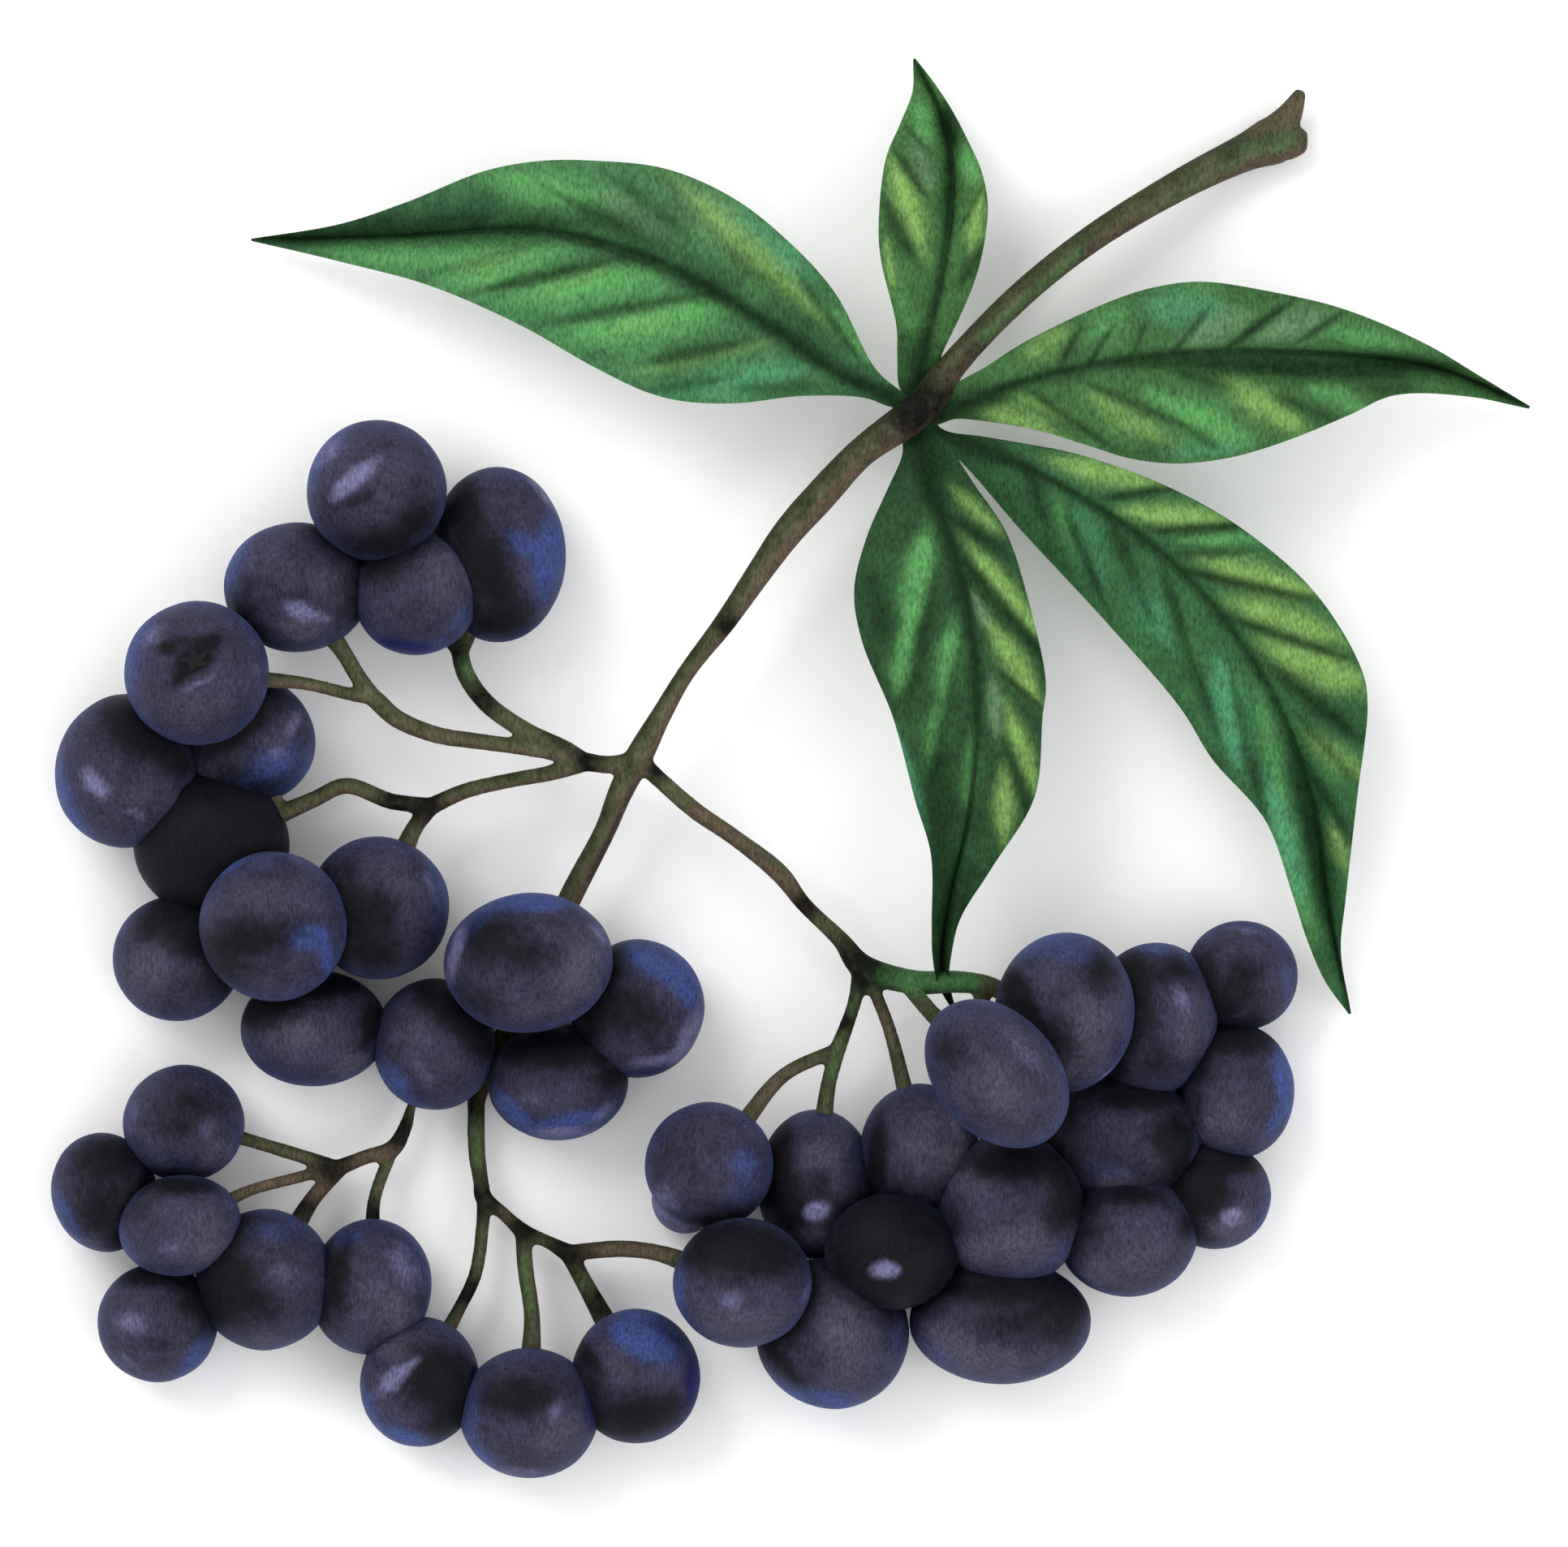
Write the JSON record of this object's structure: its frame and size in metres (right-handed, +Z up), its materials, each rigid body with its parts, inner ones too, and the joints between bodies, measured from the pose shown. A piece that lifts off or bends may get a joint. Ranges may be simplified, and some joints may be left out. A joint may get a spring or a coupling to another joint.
{
  "type": "elderberry cluster",
  "caption": "Cut cluster of dark elderberries on branching stalks with a ring of leaves on its stem, lying flat on a surface.",
  "frame": {"origin": "centre of the overall box in X and Y, on the surface that the cluster lies on", "axes": "+X to the right across the cluster, +Y from the berries to the leaves, +Z up from the surface"},
  "size_m": [0.091, 0.0875, 0.0169],
  "materials": {
    "stem": "green bark, satin",
    "leaf": "leaf, satin",
    "berry": "dark skin with a waxy bloom"
  },
  "bodies": {
    "root": {"stem": "stem", "leaf_left": "leaf", "leaf_top": "leaf", "leaf_right": "leaf", "leaf_lower_right": "leaf", "leaf_lower": "leaf", "berries_upper_left": "berry", "berries_left": "berry", "berries_centre": "berry", "berries_lower_left": "berry", "berries_right": "berry"}
  },
  "joints": []
}
